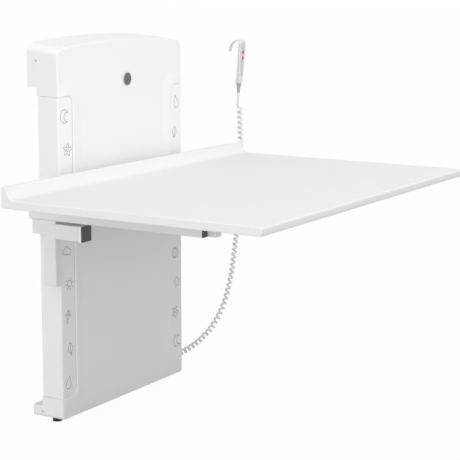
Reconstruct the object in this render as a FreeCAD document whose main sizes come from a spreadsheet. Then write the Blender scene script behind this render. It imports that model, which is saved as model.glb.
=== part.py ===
import FreeCAD, Part
import Sketcher
import math
import os
import re

# Height-adjustable baby changing station: a lift column on the wall, a wide table
# carried in front of it on two arms, and a handset on a curly cord.
# X runs along the wall, Y into the wall and Z up. The wall face is Y = 0. The origin is the
# middle of the wall bolts, and every sub-part is drawn with Z counted from the column's foot.

Vector = FreeCAD.Vector
doc = FreeCAD.newDocument("changing_station")

# Driving sizes in millimetres. Depths and reaches count outwards from the wall.
SIZES = {
    # cover of the column
    "column_width": 620,
    "column_depth": 109,
    "cover_wall": 3,
    "shoulder_height": 1070,
    "arch_rise": 16,
    "top_slope": 13,
    "corner_radius": 24,
    "foot_radius": 10,
    "edge_radius": 5,
    "slot_depth": 33,
    "slot_bottom": 34.6,
    "slot_drop": 110,
    "strip_width": 63,
    "strip_bottom": 62,
    "strip_drop": 134,
    "strip_radius": 20,
    "strip_rear": 37,
    "seam": 0.8,
    "lug_height": 30,
    "lug_thickness": 2.5,
    "lug_reach": 5,
    "lug_root": 12,
    "lug_inset": 60,
    "badge_diameter": 40,
    "badge_thickness": 2.5,
    "badge_drop": 103,
    "badge_offset": 20,
    "cover_screw_inset": 33,
    "cover_screw_low": 16,
    "cover_screw_drop": 34,
    "cover_screw_head": 7,
    "cover_screw_head_height": 1.2,
    "cover_screw_shank": 4,
    # frame inside the column
    "plate_margin": 25,
    "plate_bottom": 15,
    "plate_drop": 20,
    "plate_thickness": 2.5,
    "bolt_spacing": 460,
    "bolt_foot": 100,
    "bolt_drop": 130,
    "bolt_hole": 11,
    "bracket_wall": 3,
    "bracket_gap": 0.5,
    "bracket_depth": 92,
    "base_top": 35,
    "head_drop": 70,
    "head_height": 44,
    "guide_spacing": 380,
    "guide_width": 40,
    "guide_depth": 22,
    "guide_wall": 3,
    "guide_slot": 16,
    "glide_gap": 0.4,
    "glide_height": 60,
    "glide_pitch": 100,
    "lead_screw_diameter": 18,
    "lead_screw_depth": 68,
    "running_gap": 0.05,
    "foot_spacing": 568,
    "foot_inset": 67,
    "foot_diameter": 28,
    "foot_thickness": 6,
    "foot_stem": 10,
    "foot_notch": 16,
    "ground_gap": 12,
    "control_box_width": 150,
    "control_box_depth": 55,
    "control_box_height": 68,
    "control_box_offset": 145,
    # lift carriage
    "carriage_rear": 29.4,
    "carriage_thickness": 5,
    "carriage_width": 500,
    "carriage_below": 69,
    "carriage_above": 91,
    "drive_width": 140,
    "drive_depth": 64,
    "drive_height": 80,
    "drive_below": 30,
    "drive_offset": 30,
    "motor_diameter": 52,
    "motor_height": 118,
    "motor_offset": 68,
    # arms on both sides of the column
    "arm_gap": 1.5,
    "arm_width": 25,
    "arm_height": 41.4,
    "arm_edge": 2,
    "leg_front": 113,
    "leg_depth": 42,
    "leg_drop": 188,
    "right_leg_drop": 140,
    "stub_width": 42.5,
    "stub_height": 43.5,
    "stub_gap": 8.5,
    "stub_reach": 208,
    "stub_corner": 3,
    "tube_wall": 2.5,
    "tube_corner": 2.5,
    "collar_length": 8,
    "collar_lip": 0.6,
    "cap_thickness": 4,
    "plug_length": 15,
    "plug_gap": 0.2,
    "rail_width": 22,
    "rail_height": 50.4,
    "rail_rear": 17,
    "rail_front": 608,
    # table and its frame
    "table_rail_width": 27,
    "table_rail_front": 634,
    "cross_height": 26,
    "cross_depth": 40,
    "cross_rear": 190,
    "cross_pitch": 188,
    "table_height": 688.1,
    "table_width": 1200,
    "table_depth": 800,
    "table_thickness": 22.7,
    "table_gap": 34,
    "table_corner": 6,
    "table_edge": 2.5,
    "lip_height": 35.4,
    "lip_top": 18,
    "lip_foot": 37.6,
    "lip_round": 5,
    "lip_cove": 60,
    # handset and its cord
    "handset_across": 760,
    "handset_lean": 3.4,
    "hook_height": 1049,
    "hook_reach": 35,
    "hook_root": 16,
    "hook_radius": 33,
    "hook_thickness": 4,
    "hook_width": 12,
    "hook_drop": 6,
    "hook_sink": 1,
    "hook_fillet": 8,
    "handset_width": 40,
    "handset_foot_width": 23,
    "handset_inset": 13,
    "handset_depth": 18,
    "head_inset": 22,
    "back_curve": 900,
    "front_shell": 5,
    "handset_length": 146,
    "handset_top": 5,
    "handset_corner": 18,
    "handset_foot_corner": 5,
    "handset_front_round": 3.5,
    "handset_back_round": 2.5,
    "key_plate_width": 27,
    "key_plate_foot_width": 15,
    "key_plate_top": 5,
    "key_plate_length": 113,
    "key_plate_thickness": 0.6,
    "key_plate_corner": 9,
    "key_plate_foot_corner": 4,
    "button_diameter": 14.4,
    "button_gap": 0.3,
    "button_height": 4.6,
    "button_proud": 1,
    "button_travel": 0.8,
    "button_drop": 37,
    "button_pitch": 20,
    "relief_collar": 17,
    "relief_collar_height": 6,
    "relief_neck": 16.5,
    "relief_tip": 7.5,
    "relief_length": 33,
    "cord_diameter": 6,
    "cord_tail": 41,
    "coil_diameter": 19.5,
    "gland_inset": 46,
    "gland_height": 29,
    "gland_spigot": 14,
    "gland_flange": 24,
    "gland_flange_thickness": 3,
    "gland_neck": 19,
    "gland_tip": 13,
    "gland_length": 26,
}
sheet = doc.addObject("Spreadsheet::Sheet", "Sizes")
for row, (alias, size) in enumerate(SIZES.items(), start=1):
    sheet.set(f"A{row}", alias)
    sheet.set(f"B{row}", str(size))
    sheet.setAlias(f"B{row}", alias)
doc.recompute()

# Heights of the wall bolts, and of the origin half way between them.
BOLT_HEIGHTS = ("bolt_foot", "(shoulder_height - bolt_drop)")
ORIGIN = "((bolt_foot + shoulder_height - bolt_drop)/2)"

nodes = []


def bound(text):
    """Expression text with each size name pointed at the sheet; function names stay."""
    return re.sub(r"\b[a-z][a-z_]+\b(?!\()", lambda word: "Sizes." + word.group(0), text)


def value(text):
    """What an expression is worth with the sheet's present sizes."""
    return float(sheet.evalExpression(bound(text)))


def keep(item, name):
    """List a finished object as the sub-part of that name."""
    item.Label = name
    nodes.append(item)
    return item


def place(item, x="0", y="0", z="0"):
    """Set a sub-part down; z counts from the column's foot."""
    for axis, text in (("x", x), ("y", y), ("z", f"{z} - {ORIGIN}")):
        item.setExpression(f"Placement.Base.{axis}", bound(text))
    return item


def new_body(name):
    body = doc.addObject("PartDesign::Body", name + "_body")
    return place(body)


def origin_part(body, role):
    return next(part for part in body.Origin.OriginFeatures if part.Role == role)


def new_sketch(body, plane, level="0"):
    """Sketch on one of the body's own planes; XZ sketches count their level out from the wall."""
    flat = body.newObject("Sketcher::SketchObject", body.Name + "_sketch")
    flat.AttachmentSupport = [(origin_part(body, plane), "")]
    flat.MapMode = "FlatFace"
    flat.setExpression("AttachmentOffset.Base.z", bound(level))
    return flat


def tie(flat, kind, side, point, text):
    """Datum constraint on a point of the sketch, bound to the sheet."""
    number = flat.addConstraint(Sketcher.Constraint(kind, side, point, value(text)))
    flat.setExpression(f"Constraints[{number}]", bound(text))


def arc_side(start, end, radius):
    """Arc from start to end; a positive radius has its centre on the left of the way."""
    chord = end - start
    left = Vector(-chord.y, chord.x, 0) / chord.Length
    reach = math.sqrt(max(radius**2 - (chord.Length / 2) ** 2, 0))
    centre = (start + end) / 2 + left * math.copysign(reach, radius)
    first, last = (start, end) if radius > 0 else (end, start)
    angles = [math.atan2(point.y - centre.y, point.x - centre.x) for point in (first, last)]
    circle = Part.Circle(centre, Vector(0, 0, 1), abs(radius))
    return Part.ArcOfCircle(circle, angles[0], angles[1])


def outline(flat, corners, arcs=None):
    """Closed loop through the corners. arcs maps a side's number to its radius text and turn."""
    arcs = arcs or {}
    base = flat.GeometryCount
    points = [Vector(value(x), value(y), 0) for x, y in corners]
    count = len(points)
    starts = []
    for side in range(count):
        start, end = points[side], points[(side + 1) % count]
        if side in arcs:
            radius, turn = arcs[side]
            flat.addGeometry(arc_side(start, end, turn * value(radius)), False)
            starts.append(1 if turn > 0 else 2)
        else:
            flat.addGeometry(Part.LineSegment(start, end), False)
            starts.append(1)
    for side in range(count):
        after = (side + 1) % count
        joint = Sketcher.Constraint("Coincident", base + side, 3 - starts[side], base + after, starts[after])
        flat.addConstraint(joint)
    for side, (x, y) in enumerate(corners):
        tie(flat, "DistanceX", base + side, starts[side], x)
        tie(flat, "DistanceY", base + side, starts[side], y)
        if side in arcs:
            number = flat.addConstraint(Sketcher.Constraint("Radius", base + side, value(arcs[side][0])))
            flat.setExpression(f"Constraints[{number}]", bound(arcs[side][0]))


def rectangle(flat, x_low, x_high, y_low, y_high):
    outline(flat, [(x_low, y_low), (x_high, y_low), (x_high, y_high), (x_low, y_high)])


def ring(flat, x, y, diameter):
    middle = Vector(value(x), value(y), 0)
    side = flat.addGeometry(Part.Circle(middle, Vector(0, 0, 1), value(diameter) / 2), False)
    number = flat.addConstraint(Sketcher.Constraint("Diameter", side, value(diameter)))
    flat.setExpression(f"Constraints[{number}]", bound(diameter))
    tie(flat, "DistanceX", side, 3, x)
    tie(flat, "DistanceY", side, 3, y)


def grow(body, flat, length):
    pad = body.newObject("PartDesign::Pad", body.Name + "_pad")
    pad.Profile = flat
    pad.setExpression("Length", bound(length))
    return pad


def cut(body, flat, length):
    """Pocket along the sketch's own normal, the way a pad of it would grow."""
    pocket = body.newObject("PartDesign::Pocket", body.Name + "_pocket")
    pocket.Profile = flat
    pocket.Reversed = True
    pocket.setExpression("Length", bound(length))
    return pocket


def spin(body, flat, role):
    """Turn a profile about one of the body's own axes."""
    turned = body.newObject("PartDesign::Revolution", body.Name + "_turned")
    turned.Profile = flat
    turned.ReferenceAxis = (origin_part(body, role), [""])
    turned.Angle = 360
    return turned


def soften(body, feature, radius, wanted):
    """Fillet the edges of a feature whose middle passes the test."""
    doc.recompute()
    names = [
        f"Edge{number}"
        for number, edge in enumerate(feature.Shape.Edges, start=1)
        if wanted(edge.BoundBox)
    ]
    fillet = body.newObject("PartDesign::Fillet", body.Name + "_fillet")
    fillet.Base = (feature, names)
    fillet.setExpression("Radius", bound(radius))
    return fillet


def near(first, second):
    return abs(first - second) < 0.01


def block(name, x, y, z, length, width, height):
    """Plain box whose lowest corner is x, y, z."""
    box = doc.addObject("Part::Box", name)
    for side, text in (("Length", length), ("Width", width), ("Height", height)):
        box.setExpression(side, bound(text))
    return place(box, x, y, z)


def rod(name, x, y, z, diameter, height, axis="z"):
    """Plain cylinder that starts at x, y, z and runs along an axis."""
    bar = doc.addObject("Part::Cylinder", name)
    bar.setExpression("Radius", bound(f"({diameter})/2"))
    bar.setExpression("Height", bound(height))
    if axis == "x":
        bar.Placement.Rotation = FreeCAD.Rotation(Vector(0, 1, 0), 90)
    return place(bar, x, y, z)


def group(name, items):
    """Identical pieces that share one sub-part, each its own solid."""
    together = doc.addObject("Part::Compound", name)
    together.Links = items
    return keep(together, name)


def tube_along_y(body, x_low, x_high, z_low, z_high, start, length, wall="tube_wall"):
    """Rectangular tube that runs out from the wall."""
    flat = new_sketch(body, "XZ_Plane", start)
    rectangle(flat, x_low, x_high, z_low, z_high)
    rectangle(flat, f"{x_low} + {wall}", f"{x_high} - {wall}", f"{z_low} + {wall}", f"{z_high} - {wall}")
    return grow(body, flat, length)


def long_edges(x_low, x_high, z_low, z_high):
    """Test for the four outer edges of a tube, or of its cap, that run out from the wall."""
    sides = [value(x_low), value(x_high)]
    levels = [value(z_low), value(z_high)]
    return (
        lambda box: box.YLength > 1
        and any(near(box.XMin, side) and near(box.XMax, side) for side in sides)
        and any(near(box.ZMin, level) and near(box.ZMax, level) for level in levels)
    )


SIDES = (("left", -1), ("right", 1))
HALF = "column_width/2"
SHELL = f"({HALF} - cover_wall)"
SLOT_TOP = "(shoulder_height - slot_drop)"
STRIP_TOP = "(shoulder_height - strip_drop)"
HEAD_FOOT = "(shoulder_height - head_drop)"
SCREW_HEIGHTS = ("cover_screw_low", "shoulder_height - cover_screw_drop")
RAIL_FOOT = "(table_height - table_thickness - cross_height - rail_height)"
RAIL_TOP = f"({RAIL_FOOT} + rail_height)"
TABLE_FOOT = "(table_height - table_thickness)"
TABLE_REAR = "(column_depth + table_gap)"
ARM_IN = f"({HALF} + arm_gap)"
ARM_OUT = f"({HALF} + arm_gap + arm_width)"


def span(sign, inner, outer):
    """Low and high X of a piece on the left or right of the column."""
    if sign > 0:
        return inner, outer
    return f"-{outer}", f"-{inner}"


# Wall plate: flat steel sheet that the four wall bolts pass through.
wall_plate = new_body("wall_plate")
flat = new_sketch(wall_plate, "XZ_Plane")
half = "(bolt_spacing/2 + plate_margin)"
rectangle(flat, f"-{half}", half, "plate_bottom", "shoulder_height - plate_drop")
for across in ("-bolt_spacing/2", "bolt_spacing/2"):
    for up in BOLT_HEIGHTS:
        ring(flat, across, up, "bolt_hole")
grow(wall_plate, flat, "plate_thickness")
keep(wall_plate, "wall_plate")

# Base and head brackets: folded steel channels across the column, with a flange at each
# end that the cover is screwed to.
BRACKET_HALF = f"({SHELL} - bracket_gap)"
BRACKET_WEB = f"({BRACKET_HALF} - bracket_wall)"


def end_bracket(name, web_low, web_high, flange_end):
    body = new_body(name)
    flat = new_sketch(body, "XZ_Plane", "plate_thickness")
    upwards = value(flange_end) > value(web_high)
    web_out, web_in = (web_low, web_high) if upwards else (web_high, web_low)
    corners = [
        (f"-{BRACKET_HALF}", web_out),
        (BRACKET_HALF, web_out),
        (BRACKET_HALF, flange_end),
        (BRACKET_WEB, flange_end),
        (BRACKET_WEB, web_in),
        (f"-{BRACKET_WEB}", web_in),
        (f"-{BRACKET_WEB}", flange_end),
        (f"-{BRACKET_HALF}", flange_end),
    ]
    outline(flat, corners)
    grow(body, flat, "bracket_depth")
    keep(body, name)


end_bracket("base_bracket", "base_top - bracket_wall", "base_top", "foot_radius + bracket_gap")
end_bracket("head_bracket", HEAD_FOOT, f"{HEAD_FOOT} + bracket_wall", f"{HEAD_FOOT} + head_height")

# Guide rails: drawn channels on the wall plate, open to the front, that the glides run in.
GUIDE_REAR = "-plate_thickness"
GUIDE_FRONT = "(-plate_thickness - guide_depth)"
for side, sign in SIDES:
    guide = new_body(f"guide_rail_{side}")
    flat = new_sketch(guide, "XY_Plane", "base_top")
    middle = f"{sign}*guide_spacing/2"
    corners = [
        (f"{middle} - guide_width/2", GUIDE_REAR),
        (f"{middle} - guide_width/2", GUIDE_FRONT),
        (f"{middle} - guide_slot/2", GUIDE_FRONT),
        (f"{middle} - guide_slot/2", f"{GUIDE_FRONT} + guide_wall"),
        (f"{middle} - guide_width/2 + guide_wall", f"{GUIDE_FRONT} + guide_wall"),
        (f"{middle} - guide_width/2 + guide_wall", f"{GUIDE_REAR} - guide_wall"),
        (f"{middle} + guide_width/2 - guide_wall", f"{GUIDE_REAR} - guide_wall"),
        (f"{middle} + guide_width/2 - guide_wall", f"{GUIDE_FRONT} + guide_wall"),
        (f"{middle} + guide_slot/2", f"{GUIDE_FRONT} + guide_wall"),
        (f"{middle} + guide_slot/2", GUIDE_FRONT),
        (f"{middle} + guide_width/2", GUIDE_FRONT),
        (f"{middle} + guide_width/2", GUIDE_REAR),
    ]
    outline(flat, corners)
    grow(guide, flat, f"{HEAD_FOOT} - base_top")
    keep(guide, f"guide_rail_{side}")

# Lead screw: stands between the brackets and doesn't turn; the drive's nut climbs it.
lead_screw = rod(
    "lead_screw", "0", "-lead_screw_depth", "base_top", "lead_screw_diameter", f"{HEAD_FOOT} - base_top"
)
keep(lead_screw, "lead_screw")

# Control box: closed housing of the electronics, on the base bracket.
control_box = block(
    "control_box",
    "-control_box_offset - control_box_width/2",
    "-plate_thickness - bracket_depth",
    "base_top",
    "control_box_width",
    "control_box_depth",
    "control_box_height",
)
keep(control_box, "control_box")

# Front cover: one moulded shell with an arched top that rises towards the wall, closed at
# the foot, open to the wall, with a slot up each side and a window for each side strip.
front_cover = new_body("front_cover")


def cover_outline(flat, inset, lift):
    """Arched outline; the arch and its corner arcs are tangent, and an inset keeps their centres."""
    radius = f"(({HALF})^2 + arch_rise^2)/(2*arch_rise)"
    centre = f"(shoulder_height + {lift} + arch_rise - {radius})"
    corner_x = f"({HALF} - corner_radius)"
    corner_rise = f"sqrt(({radius} - corner_radius)^2 - {corner_x}^2)"
    stretch = f"(({radius} - {inset})/({radius} - corner_radius))"
    side_x = f"({HALF} - {inset})"
    corner_z = f"({centre} + {corner_rise})"
    touch_x = f"({corner_x}*{stretch})"
    touch_z = f"({centre} + {corner_rise}*{stretch})"
    foot_x = f"({HALF} - foot_radius)"
    corners = [
        (f"-{foot_x}", inset),
        (foot_x, inset),
        (side_x, "foot_radius"),
        (side_x, corner_z),
        (touch_x, touch_z),
        (f"-{touch_x}", touch_z),
        (f"-{side_x}", corner_z),
        (f"-{side_x}", "foot_radius"),
    ]
    foot_arc = (f"foot_radius - {inset}", 1)
    corner_arc = (f"corner_radius - {inset}", 1)
    top_arc = (f"{radius} - {inset}", 1)
    outline(flat, corners, {1: foot_arc, 3: corner_arc, 4: top_arc, 5: corner_arc, 7: foot_arc})


def cover_loft(kind, rear, front, inset):
    sections = []
    for level, lift in ((rear, "top_slope"), (front, "0")):
        flat = new_sketch(front_cover, "XZ_Plane", level)
        cover_outline(flat, inset, lift)
        sections.append(flat)
    loft = front_cover.newObject(kind, "front_cover_loft")
    loft.Profile = sections[0]
    loft.Sections = sections[1:]
    return loft


hull = cover_loft("PartDesign::AdditiveLoft", "0", "column_depth", "0")
face_y = -value("column_depth")
soften(front_cover, hull, "edge_radius", lambda box: near(box.YMin, face_y) and near(box.YMax, face_y))
cover_loft("PartDesign::SubtractiveLoft", "-1", "column_depth - cover_wall", "cover_wall")

flat = new_sketch(front_cover, "YZ_Plane", f"-{HALF} - 1")
rectangle(flat, "-slot_depth", "1", "slot_bottom", SLOT_TOP)
cut(front_cover, flat, "column_width + 2")

WINDOW = f"({HALF} - strip_width)"
flat = new_sketch(front_cover, "XZ_Plane", "-1")
for side, sign in SIDES:
    corners = [
        (f"{sign}*({HALF} + 1)", "strip_bottom"),
        (f"{sign}*({HALF} + 1)", STRIP_TOP),
        (f"{sign}*({WINDOW} + strip_radius)", STRIP_TOP),
        (f"{sign}*{WINDOW}", f"{STRIP_TOP} - strip_radius"),
        (f"{sign}*{WINDOW}", "strip_bottom + strip_radius"),
        (f"{sign}*({WINDOW} + strip_radius)", "strip_bottom"),
    ]
    outline(flat, corners, {2: ("strip_radius", sign), 4: ("strip_radius", sign)})
cut(front_cover, flat, "column_depth + 2")

flat = new_sketch(front_cover, "XY_Plane", "-1")
for side, sign in SIDES:
    middle = f"{sign}*foot_spacing/2"
    corners = [
        (f"{middle} + foot_notch/2", "1"),
        (f"{middle} - foot_notch/2", "1"),
        (f"{middle} - foot_notch/2", "-foot_inset - foot_notch/2"),
        (f"{middle} + foot_notch/2", "-foot_inset - foot_notch/2"),
    ]
    outline(flat, corners)
cut(front_cover, flat, "cover_wall + 2")

flat = new_sketch(front_cover, "YZ_Plane", f"-{HALF} - 1")
for up in SCREW_HEIGHTS:
    ring(flat, "-cover_screw_inset", up, "cover_screw_shank + 2*running_gap")
cut(front_cover, flat, "column_width + 2")

flat = new_sketch(front_cover, "YZ_Plane", f"{SHELL} - 1")
ring(flat, "-gland_inset", "gland_height", "gland_spigot + 2*running_gap")
cut(front_cover, flat, "cover_wall + 2")
keep(front_cover, "front_cover")

# Side strips: angle-shaped covers that close the windows, with a seam all round and three
# lugs each that catch behind the edge of the window.
for side, sign in SIDES:
    strip = new_body(f"side_strip_{side}")
    flat = new_sketch(strip, "XY_Plane", "strip_bottom + seam")
    inner = f"{sign}*({WINDOW} + seam)"
    corners = [
        (inner, "-column_depth"),
        (f"{sign}*({HALF} - edge_radius)", "-column_depth"),
        (f"{sign}*{HALF}", "-column_depth + edge_radius"),
        (f"{sign}*{HALF}", "-strip_rear"),
        (f"{sign}*{SHELL}", "-strip_rear"),
        (f"{sign}*{SHELL}", "-column_depth + cover_wall"),
        (inner, "-column_depth + cover_wall"),
    ]
    outline(flat, corners, {1: ("edge_radius", sign)})
    leaf = grow(strip, flat, f"{STRIP_TOP} - strip_bottom - 2*seam")
    inner_x = value(inner)
    soften(
        strip,
        leaf,
        "strip_radius - seam",
        lambda box: near(box.XMin, inner_x) and near(box.XMax, inner_x) and box.ZLength < 0.01,
    )
    flat = new_sketch(strip, "XZ_Plane", "column_depth - cover_wall - lug_thickness")
    low, high = span(sign, f"({WINDOW} - lug_reach)", f"({WINDOW} + lug_root)")
    halfway = f"(strip_bottom + {STRIP_TOP})/2"
    for middle in ("strip_bottom + lug_inset", halfway, f"{STRIP_TOP} - lug_inset"):
        rectangle(flat, low, high, f"{middle} - lug_height/2", f"{middle} + lug_height/2")
    grow(strip, flat, "lug_thickness")
    keep(strip, f"side_strip_{side}")

# Badge: plain round disc with an eased rim, stuck on the front.
badge = new_body("badge")
flat = new_sketch(badge, "XZ_Plane", "column_depth")
ring(flat, "badge_offset", "shoulder_height - badge_drop", "badge_diameter")
disc = grow(badge, flat, "badge_thickness")
badge_face = -value("column_depth + badge_thickness")
soften(badge, disc, "badge_thickness/2", lambda box: near(box.YMax, badge_face))
keep(badge, "badge")

# Cover screws: two on each side, through the cover's cheeks to the bracket flanges.
screws = []
for side, sign in SIDES:
    for up in SCREW_HEIGHTS:
        head_x = HALF if sign > 0 else f"-{HALF} - cover_screw_head_height"
        shank_x = BRACKET_HALF if sign > 0 else f"-{HALF}"
        inset = "-cover_screw_inset"
        pieces = [
            rod("head", head_x, inset, up, "cover_screw_head", "cover_screw_head_height", "x"),
            rod("shank", shank_x, inset, up, "cover_screw_shank", "cover_wall + bracket_gap", "x"),
        ]
        screw = doc.addObject("Part::MultiFuse", "cover_screw")
        screw.Shapes = pieces
        screws.append(screw)
group("cover_screws", screws)

# Levelling feet: dark discs on stems under the base bracket.
feet = []
for side, sign in SIDES:
    across = f"{sign}*foot_spacing/2"
    stem_foot = "foot_thickness - ground_gap"
    stem_length = f"base_top - bracket_wall - ({stem_foot})"
    pieces = [
        rod("disc", across, "-foot_inset", "-ground_gap", "foot_diameter", "foot_thickness"),
        rod("stem", across, "-foot_inset", stem_foot, "foot_stem", stem_length),
    ]
    foot = doc.addObject("Part::MultiFuse", "levelling_foot")
    foot.Shapes = pieces
    feet.append(foot)
group("levelling_feet", feet)

# Carriage plate: steel plate across the column whose ends pass through the side slots.
carriage = new_body("carriage_plate")
flat = new_sketch(carriage, "XZ_Plane", "carriage_rear")
tongue_foot = f"{RAIL_FOOT} - arm_height"
corners = [
    ("-carriage_width/2", f"{RAIL_FOOT} - carriage_below"),
    ("carriage_width/2", f"{RAIL_FOOT} - carriage_below"),
    ("carriage_width/2", tongue_foot),
    (ARM_IN, tongue_foot),
    (ARM_IN, RAIL_FOOT),
    ("carriage_width/2", RAIL_FOOT),
    ("carriage_width/2", f"{RAIL_FOOT} + carriage_above"),
    ("-carriage_width/2", f"{RAIL_FOOT} + carriage_above"),
    ("-carriage_width/2", RAIL_FOOT),
    (f"-{ARM_IN}", RAIL_FOOT),
    (f"-{ARM_IN}", tongue_foot),
    ("-carriage_width/2", tongue_foot),
]
outline(flat, corners)
grow(carriage, flat, "carriage_thickness")
keep(carriage, "carriage_plate")

# Glides: plastic tee blocks, two in each guide rail, with their necks on the carriage.
glides = []
GLIDE_IN = f"({GUIDE_REAR} - guide_wall - glide_gap)"
GLIDE_OUT = f"({GUIDE_FRONT} + guide_wall + glide_gap)"
CARRIAGE_MIDDLE = f"{RAIL_FOOT} + (carriage_above - carriage_below)/2"
for side, sign in SIDES:
    for pair in (0, 1):
        glide = new_body("glide")
        level = f"{CARRIAGE_MIDDLE} - glide_height/2 + ({pair} - 0.5)*glide_pitch"
        flat = new_sketch(glide, "XY_Plane", level)
        middle = f"{sign}*guide_spacing/2"
        head = "(guide_width/2 - guide_wall - glide_gap)"
        neck = "(guide_slot/2 - glide_gap)"
        corners = [
            (f"{middle} - {head}", GLIDE_IN),
            (f"{middle} - {head}", GLIDE_OUT),
            (f"{middle} - {neck}", GLIDE_OUT),
            (f"{middle} - {neck}", "-carriage_rear"),
            (f"{middle} + {neck}", "-carriage_rear"),
            (f"{middle} + {neck}", GLIDE_OUT),
            (f"{middle} + {head}", GLIDE_OUT),
            (f"{middle} + {head}", GLIDE_IN),
        ]
        outline(flat, corners)
        grow(glide, flat, "glide_height")
        glides.append(glide)
group("glides", glides)

# Drive: closed gear case with the nut inside, bored for the lead screw, and its motor below.
DRIVE_REAR = "(carriage_rear + carriage_thickness)"
DRIVE_FOOT = f"({RAIL_FOOT} - drive_below)"
drive = new_body("drive_case")
flat = new_sketch(drive, "XY_Plane", DRIVE_FOOT)
rectangle(
    flat,
    "drive_offset - drive_width/2",
    "drive_offset + drive_width/2",
    f"-{DRIVE_REAR} - drive_depth",
    f"-{DRIVE_REAR}",
)
ring(flat, "0", "-lead_screw_depth", "lead_screw_diameter + 2*running_gap")
grow(drive, flat, "drive_height")
keep(drive, "drive_case")
motor_foot = f"{DRIVE_FOOT} - motor_height"
motor = rod("drive_motor", "motor_offset", "-lead_screw_depth", motor_foot, "motor_diameter", "motor_height")
keep(motor, "drive_motor")

# Side arms: steel arms that turn forward round the column's cheeks, with a leg that
# stiffens them downwards, longer on the left, and a short square tube forward from each leg.
STUB_TOP = f"({RAIL_FOOT} - stub_gap)"
STUB_FOOT = f"({STUB_TOP} - stub_height)"
STUB_END = "(stub_reach - cap_thickness)"
collars = []
stub_caps = []
for side, sign in SIDES:
    low, high = span(sign, ARM_IN, ARM_OUT)
    drop = "leg_drop" if side == "left" else "right_leg_drop"
    arm = new_body(f"side_arm_{side}")
    flat = new_sketch(arm, "YZ_Plane", low)
    corners = [
        ("-carriage_rear", f"{RAIL_FOOT} - arm_height"),
        ("-carriage_rear", RAIL_FOOT),
        ("-leg_front", RAIL_FOOT),
        ("-leg_front", f"{RAIL_FOOT} - {drop}"),
        ("-leg_front + leg_depth", f"{RAIL_FOOT} - {drop}"),
        ("-leg_front + leg_depth", f"{RAIL_FOOT} - arm_height"),
    ]
    outline(flat, corners)
    plate = grow(arm, flat, "arm_width")
    outer_x = value(f"{sign}*{ARM_OUT}")
    seat_z = value(RAIL_FOOT)
    soften(
        arm,
        plate,
        "arm_edge",
        lambda box: near(box.XMin, outer_x) and near(box.XMax, outer_x) and box.ZMin < seat_z - 0.01,
    )
    keep(arm, f"side_arm_{side}")

    low, high = span(sign, f"({ARM_OUT} - stub_width)", ARM_OUT)
    stub = new_body(f"stub_{side}")
    tube = tube_along_y(stub, low, high, STUB_FOOT, STUB_TOP, "leg_front", f"{STUB_END} - leg_front")
    soften(stub, tube, "stub_corner", long_edges(low, high, STUB_FOOT, STUB_TOP))
    keep(stub, f"stub_{side}")

    collar = new_body(f"stub_collar_{side}")
    around = (
        f"{low} - collar_lip",
        f"{high} + collar_lip",
        f"{STUB_FOOT} - collar_lip",
        f"{STUB_TOP} + collar_lip",
    )
    flat = new_sketch(collar, "XZ_Plane", f"{STUB_END} - collar_length")
    rectangle(flat, *around)
    rectangle(flat, low, high, STUB_FOOT, STUB_TOP)
    grow(collar, flat, "collar_length")
    collars.append(collar)

    cap = new_body(f"stub_cap_{side}")
    flat = new_sketch(cap, "XZ_Plane", STUB_END)
    rectangle(flat, *around)
    front = grow(cap, flat, "cap_thickness")
    cap_face = -value("stub_reach")
    eased = soften(
        cap,
        front,
        "cap_thickness/2",
        lambda box: near(box.YMin, cap_face) and near(box.YMax, cap_face),
    )
    flat = new_sketch(cap, "XZ_Plane", f"{STUB_END} - plug_length")
    rim = "tube_wall + plug_gap"
    rectangle(flat, f"{low} + {rim}", f"{high} - ({rim})", f"{STUB_FOOT} + {rim}", f"{STUB_TOP} - ({rim})")
    grow(cap, flat, "plug_length")
    stub_caps.append(cap)
group("stub_collars", collars)
group("stub_caps", stub_caps)

# Arm rails and table rails: a pair of tubes side by side on each arm; the outer one is
# welded on the arm, the inner one belongs to the table and reaches further forward.
RAIL_IN = f"({ARM_OUT} - rail_width)"
TABLE_RAIL_IN = f"({RAIL_IN} - table_rail_width)"
rail_caps = []
table_rail_caps = []
for side, sign in SIDES:
    runs = (
        ("arm_rail", RAIL_IN, ARM_OUT, "rail_rear", "rail_front", rail_caps),
        ("table_rail", TABLE_RAIL_IN, RAIL_IN, TABLE_REAR, "table_rail_front", table_rail_caps),
    )
    for name, inner, outer, rear, front, front_caps in runs:
        low, high = span(sign, inner, outer)
        rail = new_body(f"{name}_{side}")
        tube_length = f"{front} - {rear} - 2*cap_thickness"
        tube = tube_along_y(rail, low, high, RAIL_FOOT, RAIL_TOP, f"{rear} + cap_thickness", tube_length)
        corners = long_edges(low, high, RAIL_FOOT, RAIL_TOP)
        soften(rail, tube, "tube_corner", corners)
        keep(rail, f"{name}_{side}")
        ends = (("rear", rear, table_rail_caps), ("front", f"{front} - cap_thickness", front_caps))
        for end, start, caps in ends:
            cap = new_body(f"{name}_cap_{side}_{end}")
            flat = new_sketch(cap, "XZ_Plane", start)
            rectangle(flat, low, high, RAIL_FOOT, RAIL_TOP)
            plate = soften(cap, grow(cap, flat, "cap_thickness"), "tube_corner", corners)
            face = -value(rear) if end == "rear" else -value(front)
            soften(cap, plate, "cap_thickness/3", lambda box: near(box.YMin, face) and near(box.YMax, face))
            caps.append(cap)
group("rail_caps", rail_caps)
group("table_rail_caps", table_rail_caps)

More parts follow.
